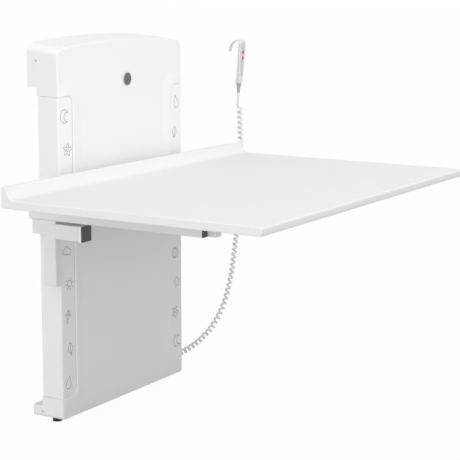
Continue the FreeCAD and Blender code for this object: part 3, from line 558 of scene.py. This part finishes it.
dress(brushed_disc("badge_face", (0.075, 0.08, 0.085), badge_center, rough=0.3), "badge")
pale_rim = moulded(
    "pale_rim", color=(0.62, 0.63, 0.64), rough=0.28, grain_scale=900, grain_depth=0.00004,
)
badge_rim_outline = [
    (badge_radius, 0),
    (badge_radius + badge_proud, 0),
    (badge_radius + badge_proud, badge_thickness),
    (badge_radius - badge_rim_width / 2, badge_thickness + badge_proud),
    (badge_radius - badge_rim_width, badge_thickness + badge_proud / 4),
    (badge_radius - badge_rim_width, badge_rim_foot),
    (badge_radius, 0),
]
outward = Matrix.Rotation(math.radians(90), 4, "X")
badge_seat = Matrix.Translation((badge_center.x, badge_high.y, badge_center.z)) @ outward
badge_rim = turned_ring("badge_rim", badge_rim_outline, badge_seat)
badge_rim.materials.append(pale_rim.material)
add_piece("badge_rim", badge_rim, "column")

# Screws: low socket heads, the cover's four in its cheeks and the table's nine under the
# cross tubes, where they run through into the board.
screw_sides = 24
cover_head = {"radius": 0.0036, "height": 0.0013, "socket": 0.0014}
table_head = {"radius": 0.0065, "height": 0.0032, "socket": 0.0026}
table_screw_shares = (0.2, 0.5, 0.8)
DOME = ((1.0, 0.0), (1.0, 0.4), (0.94, 0.78), (0.78, 1.0))
SOCKET_LEVELS = (1.0, 0.3)


def socket_head(name, radius, height, socket):
    """Domed head with a six-sided socket, on its seat at Z = 0."""
    form = bmesh.new()
    turns = [math.tau * side / screw_sides for side in range(screw_sides)]
    flats = [(turn + math.pi / 6) % (math.pi / 3) - math.pi / 6 for turn in turns]
    levels = [([radius * share] * screw_sides, level) for share, level in DOME]
    levels += [([socket / math.cos(flat) for flat in flats], level) for level in SOCKET_LEVELS]
    rings = []
    for reaches, level in levels:
        spots = [
            (reach * math.cos(turn), reach * math.sin(turn), height * level)
            for reach, turn in zip(reaches, turns)
        ]
        rings.append([form.verts.new(spot) for spot in spots])
    join_rings(form, rings)
    form.faces.new(rings[0][::-1])
    form.faces.new(rings[-1])
    return bpy.data.objects.new(name, settle(form, name))


def set_screws(material):
    """Tree that stands a copy of a piece on each mark, turned to the mark's facing."""
    tree, entry = new_tree("set_screws", {"Piece": "Object", "Size": "Float"})
    start = entry["Geometry"]
    inputs = {"Object": entry["Piece"]}
    pattern = start.add("GeometryNodeObjectInfo", None, inputs, output="Geometry")
    settings = {"data_type": "FLOAT_VECTOR"}
    facing = start.add("GeometryNodeInputNamedAttribute", settings, {"Name": "facing"})
    turn = start.add("FunctionNodeAlignRotationToVector", {"axis": "Z"}, {"Vector": facing})
    inputs = {"Points": start, "Instance": pattern, "Rotation": turn, "Scale": entry["Size"]}
    close_tree(start.add("GeometryNodeInstanceOnPoints", None, inputs), material)
    return tree


def marks(name, spots):
    """Loose points with a facing each, for a tree to stand pieces on."""
    mesh = bpy.data.meshes.new(name)
    mesh.from_pydata([spot for spot, way in spots], [], [])
    facing = mesh.attributes.new("facing", "FLOAT_VECTOR", "POINT")
    for item, (spot, way) in zip(facing.data, spots):
        item.vector = way
    return mesh


def plant_screws(name, head, spots, body, replaced=()):
    """Piece with a screw head on each spot."""
    pattern = socket_head(name + "_head", **head)
    sizes = {"Piece": pattern, "Size": 1.0}
    mesh = grow_mesh(name, marks(name + "_marks", spots), screw_tree, sizes)
    bpy.data.objects.remove(pattern)
    add_piece(name, mesh, body, replaced)


screw_tree = set_screws(zinc.material)
cover_low, cover_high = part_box("front_cover")
screw_low, screw_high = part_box("cover_screws")
seat_inset = (screw_low.y + screw_high.y) / 2
seat_margin = (screw_high.y - screw_low.y) / 2
cover_spots = [
    ((x, seat_inset, z), (math.copysign(1, x), 0, 0))
    for x in (cover_low.x, cover_high.x)
    for z in (screw_low.z + seat_margin, screw_high.z - seat_margin)
]
plant_screws("cover_screw_heads", cover_head, cover_spots, "column", ["cover_screws"])
table_spots = []
for tube in ("rear", "middle", "front"):
    low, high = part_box(f"cross_tube_{tube}")
    for share in table_screw_shares:
        across = low.x + (high.x - low.x) * share
        table_spots.append(((across, (low.y + high.y) / 2, low.z), (0, 0, -1)))
plant_screws("table_screw_heads", table_head, table_spots, "table_lift")

# Levelling feet: black moulded rubber pads on threaded stems, one under each side of the
# column, turned down to the floor when the plate is hung.
rubber = moulded(
    "foot_rubber", color=(0.016, 0.016, 0.017), rough=0.62, grain_scale=700, grain_depth=0.0003,
)
dress(rubber, "levelling_feet")

# Arms, rails, stubs and cross tubes: welded steel under a light grey powder coat with the
# slight orange peel of baked powder.


def powder_coat(name, color):
    """Baked powder: a low peel in the surface, fine flecks and a slow drift in the colour."""
    dark_fleck = 0.96
    light_fleck = 1.02
    fleck_share = 0.5
    coat_rough = 0.36
    peel_rough = 0.14
    finish = Finish(name, Coat_Weight=0.15, Coat_Roughness=0.3)
    peel = finish.noise(scale=420, detail=1.0)
    fleck = finish.noise(scale=2600, detail=1.0)
    flow = finish.noise(scale=5)
    tone = fleck * fleck_share + flow * (1 - fleck_share)
    colors = shade(color, dark_fleck), shade(color, light_fleck)
    finish.link("Base Color", finish.blend(tone, *colors))
    finish.link("Roughness", coat_rough + peel_rough * peel)
    finish.bump(peel, strength=0.2, distance=0.0003)
    return finish


coat = powder_coat("powder_coat", (0.815, 0.825, 0.825))
dress(coat, "side_arm_left", "side_arm_right", "stub_left", "stub_right")
dress(coat, "arm_rail_left", "arm_rail_right", "table_rail_left", "table_rail_right")
dress(coat, "cross_tube_rear", "cross_tube_middle", "cross_tube_front")

# End caps and collars: moulded plugs pressed into the tubes' open ends, dark in the arms'
# tubes and light in the table's own, with a white collar round each stub.
dark_plug = moulded(
    "dark_plug", color=(0.072, 0.073, 0.075), rough=0.45, grain_scale=800, grain_depth=0.0002,
)
light_plug = moulded(
    "light_plug", color=(0.84, 0.85, 0.85), rough=0.38, grain_scale=1000, grain_depth=0.0001,
)
white_plug = moulded(
    "white_plug", color=(0.93, 0.93, 0.93), rough=0.3, grain_scale=1000, grain_depth=0.0001,
)
dress(dark_plug, "stub_caps", "rail_caps")
dress(light_plug, "table_rail_caps")
dress(white_plug, "stub_collars")

# Table top: one pressed board with a satin skin that wipes clean, drawn up in a lip along the
# rear and rolled under along the front. The skin's faint pebble shows only in highlights.
lip_height = 0.0354
lip_top = 0.018
lip_foot = 0.0376
lip_round = 0.005
lip_fall = 0.022
lip_lean = 0.0033
lip_sweep = 0.012
lip_points = 14
nose_round = 0.0048
nose_curve = 0.070
nose_lean = math.radians(8)
heel_round = 0.001
rear_round = 0.003
end_round = 0.0025
end_steps = 4


def satin_board(name, color):
    """Pressed skin: a fine pebble under a satin sheen, and a slow drift in the colour."""
    drift = 0.985
    skin_rough = 0.48
    pebble_rough = 0.1
    flow_rough = 0.05
    finish = Finish(name, Specular_IOR_Level=0.22)
    pebble = finish.noise(scale=1100)
    flow = finish.noise(scale=2.2, detail=3.0)
    finish.link("Base Color", finish.blend(flow, shade(color, drift), color))
    finish.link("Roughness", skin_rough + pebble_rough * pebble + flow_rough * flow)
    finish.bump(pebble, strength=0.2, distance=0.00008)
    return finish


def sweep(start, leaving, arriving, end):
    """Points on a smooth curve between two spots, by its pull at each of them."""
    pulls = start + Vector(leaving), end + Vector(arriving)
    curve = interpolate_bezier(start, *pulls, end, lip_points)
    return [tuple(spot.to_2d()) for spot in curve]


def board_section(low, high):
    """Outline of the board across its depth, from under its front edge over the lip and back."""
    flat = high.z - lip_height
    nose = Vector((low.y + nose_round, flat - nose_round))
    way = Vector((math.cos(nose_lean), math.sin(nose_lean)))
    hollow = nose + (nose_curve - nose_round) * way
    lean = math.degrees(nose_lean)
    under = math.degrees(math.asin((hollow.y - low.z) / nose_curve))
    crest = high.z - lip_round
    brow = Vector((high.y - lip_top, crest))
    foot = Vector((high.y - lip_foot - lip_sweep / 2, flat))
    curl = arc(hollow, nose_curve, 180 + under, 180 + lean, count=8)
    section = [(curl[0][0] + heel_round, low.z)] + curl[:-1]
    section += arc(nose, nose_round, 180 + lean, 90, count=10)
    section += sweep(foot, (lip_sweep, 0), (-lip_lean, -lip_fall), brow)[:-1]
    section += arc((high.y - lip_top + lip_round, crest), lip_round, 180, 90, count=8)
    section += arc((high.y - lip_round, crest), lip_round, 90, 0, count=8)
    heel = high.y - rear_round, low.z + rear_round
    return section + arc(heel, rear_round, 0, -90, count=4)


def pressed_board(name, low, high):
    """Board of one section from end to end, with the edges of its two ends rounded."""
    section = [Vector(spot) for spot in board_section(low, high)]
    count = len(section)
    spans = [section[(step + 1) % count] - spot for step, spot in enumerate(section)]
    outward = [Vector((-span.y, span.x)) for span in spans]
    fronts = [(outward[step - 1] + outward[step]).normalized() for step in range(count)]
    sides = [(outward[step - 1].normalized(), outward[step].normalized()) for step in range(count)]
    miters = [(first + second) / (1 + first.dot(second)) for first, second in sides]
    turns = [math.radians(90) * step / end_steps for step in range(end_steps + 1)]
    rings = [(low.x + end_round * (1 - math.cos(turn)), -1, turn) for turn in turns]
    rings += [(high.x - end_round * (1 - math.cos(turn)), 1, turn) for turn in turns[::-1]]
    points = []
    facing = []
    for across, way, turn in rings:
        inset = end_round * (1 - math.sin(turn))
        points += [(across, *(spot - inset * miter)) for spot, miter in zip(section, miters)]
        facing += [(way * math.cos(turn), *(math.sin(turn) * front)) for front in fronts]
    last = len(points) - count
    faces = [range(count), range(len(points) - 1, last - 1, -1)]
    for first in range(0, last, count):
        for step in range(count):
            here = first + step
            after = first + (step + 1) % count
            faces.append((here, here + count, after + count, after))
    mesh = bpy.data.meshes.new(name)
    mesh.from_pydata(points, [], faces)
    mesh.shade_smooth()
    mesh.normals_split_custom_set_from_vertices(facing)
    return mesh


board_white = satin_board("board_white", (0.86, 0.863, 0.86))
board = pressed_board("table_board", *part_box("table_top"))
board.materials.append(board_white.material)
add_piece("table_board", board, "table_lift", ["table_top"])

# Handset: two white shells, the back one with a hollow curve and a hook to hang it up by.
# A thin grey line of painted shade runs where the shells meet, in place of the dark gap of their
# seam.
hook_seat = Vector((0.760, -0.035, 0.529))
handset_lean = math.radians(3.4)
hung = Matrix.Translation(hook_seat) @ Matrix.Rotation(handset_lean, 4, "X")
joint_depth = -0.0264
joint_line = 0.00012
weld_reach = 1e-6
shell_white = moulded(
    "shell_white", color=(0.80, 0.805, 0.81), rough=0.32, grain_scale=1600, grain_depth=0.00004,
    mottle=0.01,
)
dress(shell_white, "handset_front", "handset_back")


def shell_joint(name, depth):
    """Line round the front shell, read from a cut across it in the hung frame."""
    form = bmesh.new()
    form.from_mesh(nodes["handset_front"].data)
    bmesh.ops.transform(form, matrix=hung.inverted(), verts=form.verts)
    bmesh.ops.remove_doubles(form, verts=form.verts, dist=weld_reach)
    whole = form.verts[:] + form.edges[:] + form.faces[:]
    plane = {"plane_co": (0, depth, 0), "plane_no": (0, 1, 0)}
    cut = set(bmesh.ops.bisect_plane(form, geom=whole, **plane)["geom_cut"])
    rest = [edge for edge in form.edges if edge not in cut]
    bmesh.ops.delete(form, geom=rest, context="EDGES_FACES")
    loose = [vert for vert in form.verts if not vert.link_edges]
    bmesh.ops.delete(form, geom=loose, context="VERTS")
    return settle(form, name)


# Painted shade: a grey ribbon along the seam stands for the shadow in the gap between the shells.
seam_shade_ink = print_and_shade_ink("joint_shadow", (0.45, 0.45, 0.46))
joint_sizes = {"Line": joint_line, "Rise": joint_line}
joint_cut = shell_joint("joint_cut", joint_depth)
joint = grow_mesh("handset_joint", joint_cut, drawn_lines(seam_shade_ink), joint_sizes)
joint.transform(hung)
add_piece("handset_joint", joint, "column")

# Key plate and buttons: a pale grey film with two round keys, each printed in red with a
# blunt triangle that points the way and two bars behind it.
millimetre = 0.001
key_depth = -0.0326
sign_rise = 0.0001
KEYS = (("up", 1, -0.037), ("down", -1, -0.057))
SIGN = (
    ((-6.2, 0.6), (6.2, 0.6), (1.6, 6.7), (-1.6, 6.7)),
    ((-5.6, -3.0), (5.6, -3.0), (6.2, 0.0), (-6.2, 0.0)),
    ((-2.6, -6.4), (2.6, -6.4), (5.2, -3.6), (-5.2, -3.6)),
)
film = moulded(
    "key_film", color=(0.63, 0.68, 0.73), rough=0.4, grain_scale=2200, grain_depth=0.00003,
    mottle=0.02,
)
dress(film, "key_plate")
key_white = moulded(
    "key_white", color=(0.80, 0.82, 0.84), rough=0.3, grain_scale=1800, grain_depth=0.00003,
    mottle=0.01,
)
dress(key_white, "button_up", "button_down")
red_ink = print_and_shade_ink("red_ink", (0.50, 0.008, 0.02))


def key_sign(name, face, way):
    """Flat triangle and bars on a key's face, pointing up or down, then hung with it."""
    form = bmesh.new()
    for patch in SIGN:
        spots = [(x * millimetre, 0, way * z * millimetre) for x, z in patch]
        plate = form.faces.new([form.verts.new(spot) for spot in spots])
        lifted = bmesh.ops.extrude_face_region(form, geom=[plate])["geom"]
        raised = [vert for vert in lifted if isinstance(vert, bmesh.types.BMVert)]
        bmesh.ops.translate(form, vec=(0, -2 * sign_rise, 0), verts=raised)
    bmesh.ops.translate(form, vec=face, verts=form.verts)
    bmesh.ops.recalc_face_normals(form, faces=form.faces)
    mesh = settle(form, name)
    mesh.transform(hung)
    mesh.materials.append(red_ink.material)
    return mesh


for name, way, height in KEYS:
    sign_mesh = key_sign(f"key_sign_{name}", Vector((0, key_depth + sign_rise, height)), way)
    add_piece(f"key_sign_{name}", sign_mesh, f"button_{name}")

# Strain relief and gland: soft grey sleeves, ribbed so that they bend evenly, moulded on
# the cord under the handset and set in the column's foot.
foot_depth = -0.022
foot_height = -0.146
relief_length = 0.033
relief_collar = 0.006
gland_collar = 0.003
rib_depth = 0.0004
sleeve_points = 150
sleeve_sides = 36
sleeve_grey = moulded(
    "sleeve_grey", color=(0.47, 0.485, 0.49), rough=0.55, grain_scale=1300, grain_depth=0.0001,
)


def ribbed_sleeve(material):
    """Tree for a tapered sleeve with a collar and ribs, from its root at 0 down to -Length."""
    sizes = ("Length", "Root", "Tip", "Collar", "Collar share", "Ribs", "Rib depth")
    tree, entry = new_tree("ribbed_sleeve", {size: "Float" for size in sizes})
    start = entry["Geometry"]
    foot = start.add("ShaderNodeCombineXYZ", None, {"Z": entry["Length"] * -1.0})
    line = start.add("GeometryNodeCurvePrimitiveLine", None, {"Start": (0, 0, 0), "End": foot})
    inputs = {"Curve": line, "Count": sleeve_points}
    fine = start.add("GeometryNodeResampleCurve", None, inputs)
    along = start.add("GeometryNodeSplineParameter", output="Factor")
    wave = start.math("COSINE", along * entry["Ribs"] * math.tau)
    taper = along * (entry["Tip"] - entry["Root"])
    cone = entry["Root"] + taper + wave * entry["Rib depth"]
    collar = along < entry["Collar share"]
    reach = collar * entry["Collar"] + (1 - collar) * cone
    inputs = {"Resolution": sleeve_sides, "Radius": 1.0}
    circle = start.add("GeometryNodeCurvePrimitiveCircle", None, inputs)
    inputs = {"Curve": fine, "Profile Curve": circle, "Scale": reach, "Fill Caps": True}
    close_tree(start.add("GeometryNodeCurveToMesh", None, inputs), material)
    return tree


def add_sleeve(name, node, sizes, place):
    """Sleeve of the given sizes in place of its node."""
    mesh = grow_mesh(name, bpy.data.meshes.new(name + "_seed"), sleeve_tree, sizes)
    mesh.transform(place)
    add_piece(name, mesh, "column", [node])


sleeve_tree = ribbed_sleeve(sleeve_grey.material)
relief_sizes = {
    "Length": relief_length,
    "Root": 0.0080,
    "Tip": 0.0038,
    "Collar": 0.0085,
    "Collar share": relief_collar / relief_length,
    "Ribs": 9.0,
    "Rib depth": rib_depth,
}
handset_foot = hung @ Matrix.Translation((0, foot_depth, foot_height))
add_sleeve("strain_relief_sleeve", "strain_relief", relief_sizes, handset_foot)
gland_low, gland_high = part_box("cord_gland")
gland_middle = (gland_low + gland_high) / 2
gland_length = gland_high.x - cover_high.x
gland_sizes = {
    "Length": gland_length,
    "Root": 0.0095,
    "Tip": 0.0062,
    "Collar": 0.012,
    "Collar share": gland_collar / gland_length,
    "Ribs": 7.0,
    "Rib depth": rib_depth,
}
sideways = Matrix.Rotation(math.radians(-90), 4, "Y")
gland_seat = Matrix.Translation((cover_high.x, gland_middle.y, gland_middle.z)) @ sideways
add_sleeve("cord_gland_sleeve", "cord_gland", gland_sizes, gland_seat)

# Curly cord: one white wire, straight out of the strain relief and then wound in a helix
# that hangs beside the table and runs to the gland, stretched a little more near its foot.
wire_radius = 0.0035
coil_radius = 0.0067
pitch_hanging = 0.0178
pitch_stretched = 0.0235
stretch_from = 0.55
stretch_span = 0.35
turn_points = 14
tail_length = 0.041
tail_hold = 0.003
tail_shares = (0, 0.3, 0.6, 0.85)
opening_length = 0.014
closing_turns = 1.6
straight_end = 0.003
ROUTE = [
    (0.7630, -0.0489, 0.3081),
    (0.7680, -0.0500, 0.2220),
    (0.7710, -0.0500, 0.1200),
    (0.7680, -0.0490, 0.0100),
    (0.7550, -0.0480, -0.0950),
    (0.7360, -0.0470, -0.1900),
    (0.7150, -0.0465, -0.2800),
    (0.6740, -0.0460, -0.3700),
    (0.6000, -0.0460, -0.4380),
    (0.5050, -0.0460, -0.4740),
    (0.4150, -0.0460, -0.4870),
    (0.3360, -0.0460, -0.4910),
]


def nurbs_curve(name, points, resolution):
    """Curve of one open smooth spline with these control points."""
    curve = bpy.data.curves.new(name, "CURVE")
    curve.dimensions = "3D"
    spline = curve.splines.new("NURBS")
    spline.points.add(len(points) - 1)
    for control, point in zip(spline.points, points):
        control.co = (*point, 1)
    spline.order_u = 3
    spline.use_endpoint_u = True
    spline.resolution_u = resolution
    return curve


def spline_points(points):
    """Points read back along the smooth line of a route."""
    line = nurbs_curve("route_line", points, resolution=60)
    holder = bpy.data.objects.new("route_holder", line)
    bpy.context.scene.collection.objects.link(holder)
    depsgraph = bpy.context.evaluated_depsgraph_get()
    mesh = bpy.data.meshes.new_from_object(holder.evaluated_get(depsgraph), depsgraph=depsgraph)
    found = [vert.co.copy() for vert in mesh.vertices]
    bpy.data.objects.remove(holder)
    bpy.data.meshes.remove(mesh)
    return found


def helix_points(line, first_way):
    """Helix round a line, begun on the side that first_way points to and closed at its end."""
    lengths = [(after - before).length for before, after in zip(line, line[1:])]
    total = sum(lengths)
    wound = []
    side = first_way.normalized()
    turn = 0.0
    travelled = 0.0
    walked = 0.0
    for before, after, length in zip(line, line[1:], lengths):
        ahead = (after - before).normalized()
        side = (side - ahead * side.dot(ahead)).normalized()
        over = ahead.cross(side)
        stretch = min(max((travelled / total - stretch_from) / stretch_span, 0), 1)
        pitch = pitch_hanging + (pitch_stretched - pitch_hanging) * stretch
        while walked <= length:
            left = total - travelled - walked
            reach = coil_radius * smooth_step(min(1, left / (closing_turns * pitch)))
            if left > straight_end:
                around = side * math.cos(turn) + over * math.sin(turn)
                wound.append(before + ahead * walked + around * reach)
            walked += pitch / turn_points
            turn += math.tau / turn_points * min(1, (travelled + walked) / opening_length)
        walked -= length
        travelled += length
    return wound


relief_tip = handset_foot @ Vector((0, 0, -relief_length))
tail_way = hung.to_3x3() @ Vector((0, 0, -1))
tail_start = relief_tip - tail_way * tail_hold
tail_end = relief_tip + tail_way * tail_length
tail = [tail_start.lerp(tail_end, share) for share in tail_shares]
helix = helix_points(spline_points(ROUTE), tail_end - Vector(ROUTE[0]))
wire_points = (tail + helix + [Vector(ROUTE[-1])])[::-1]
wire_curve = nurbs_curve("curly_wire", wire_points, resolution=3)
wire_curve.bevel_depth = wire_radius
wire_curve.bevel_resolution = 3
wire_curve.use_fill_caps = True
wire = bpy.data.objects.new("curly_wire", wire_curve)
bpy.context.scene.collection.objects.link(wire)
wire_white = moulded(
    "wire_white", color=(0.84, 0.845, 0.84), rough=0.42, grain_scale=1500, grain_depth=0.00005,
)
wire_curve.materials.append(wire_white.material)
wire_length = sum((after - before).length for before, after in zip(wire_points, wire_points[1:]))
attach(wire, "column")
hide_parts("curly_cord", "cord_tail")

# Studio: a plain pale floor under a white surround that lights less from overhead and from the
# right. One wide soft lamp stands high in front, so that the table shades the column below it,
# and a weaker one on the left.
PURE_WHITE = (1, 1, 1, 1)
floor_height = cad_box[0].z
floor_reach = 40.0
floor_glow = 0.97
surround_light = 1.29
overhead_fade = 0.57
right_fade = 0.45
FLOOR_CORNERS = ((-1, -1), (1, -1), (1, 1), (-1, 1))
floor_mesh = bpy.data.meshes.new("floor")
corners = [(x * floor_reach, y * floor_reach, floor_height) for x, y in FLOOR_CORNERS]
floor_mesh.from_pydata(corners, [], [(0, 1, 2, 3)])
floor = bpy.data.objects.new("floor", floor_mesh)
bpy.context.scene.collection.objects.link(floor)


def seen_directly(start):
    """1 for rays from the camera, a mirror or through glass, 0 for the light on the object."""
    camera_ray = start.add("ShaderNodeLightPath", output="Is Camera Ray")
    glossy_ray = start.add("ShaderNodeLightPath", output="Is Glossy Ray")
    through_ray = start.add("ShaderNodeLightPath", output="Is Transmission Ray")
    return start.math("MINIMUM", camera_ray + glossy_ray + through_ray, 1.0)


paper = Finish("floor_paper", Roughness=0.9)
paper_tree = paper.material.node_tree
paper_mottle = paper.noise(scale=0.6)
paper.link("Base Color", paper.blend(paper_mottle, (0.55, 0.55, 0.55), (0.57, 0.57, 0.57)))
paper_shader = Link(paper_tree, paper.shader.outputs["BSDF"])
glow = paper.start.add("ShaderNodeEmission", None, {"Color": PURE_WHITE, "Strength": 1.0})
glow_share = seen_directly(paper.start) * floor_glow
inputs = {0: glow_share, 1: paper_shader, 2: glow}
paper_mix = paper.start.add("ShaderNodeMixShader", None, inputs)
paper_output = paper_tree.nodes["Material Output"]
paper_tree.links.new(paper_mix.socket, paper_output.inputs["Surface"])
floor_mesh.materials.append(paper.material)

world = bpy.data.worlds.new("surround")
world.use_nodes = True
bpy.context.scene.world = world
sky = Link(world.node_tree)
direction = sky.add("ShaderNodeTexCoord", output="Generated")


def leaning(axis):
    """How far a direction leans to the positive side of an axis, from 0 to 1."""
    along = sky.add("ShaderNodeSeparateXYZ", None, {0: direction}, output=axis)
    return sky.math("MAXIMUM", along, 0.0)


lit = surround_light * (1 - overhead_fade * leaning("Z")) * (1 - right_fade * leaning("X"))
seen = seen_directly(sky)
strength = seen + (1 - seen) * lit
backdrop = world.node_tree.nodes["Background"]
backdrop.inputs["Color"].default_value = PURE_WHITE
world.node_tree.links.new(strength.socket, backdrop.inputs["Strength"])


def soft_lamp(name, place, target, size, power):
    """Square lamp at a place, turned to its target."""
    lamp = bpy.data.lights.new(name, "AREA")
    lamp.shape = "SQUARE"
    lamp.size = size
    lamp.energy = power
    holder = bpy.data.objects.new(name, lamp)
    holder.location = place
    way = Vector(target) - Vector(place)
    holder.rotation_euler = way.to_track_quat("-Z", "Y").to_euler()
    bpy.context.scene.collection.objects.link(holder)


soft_lamp("front_lamp", place=(-0.8, -3.8, 4.2), target=(0, -0.1, 0.2), size=2.2, power=88)
soft_lamp("side_lamp", place=(-4.6, -0.55, 0.35), target=(-0.3, -0.1, 0.1), size=1.3, power=23)

# Camera: tele view from the left front, a little above the table and dipped towards it, with
# the lens shifted so that the station fills the square picture.
camera_place = Vector((-3.497, -2.646, 0.768))
camera_heading = math.radians(58.26)
camera_dip = math.radians(8.39)
picture_lens = 113.56
picture_width = 36
picture_shift = -0.10
view_reach = 200
camera_data = bpy.data.cameras.new("camera")
camera_data.lens = picture_lens
camera_data.sensor_width = picture_width
camera_data.shift_y = picture_shift
camera_data.clip_end = view_reach
camera = bpy.data.objects.new("camera", camera_data)
level = math.cos(camera_dip)
ahead = Vector((
    math.sin(camera_heading) * level,
    math.cos(camera_heading) * level,
    -math.sin(camera_dip),
))
camera.location = camera_place
camera.rotation_euler = ahead.to_track_quat("-Z", "Y").to_euler()
bpy.context.scene.collection.objects.link(camera)
bpy.context.scene.camera = camera
bpy.context.scene.view_settings.view_transform = "Standard"
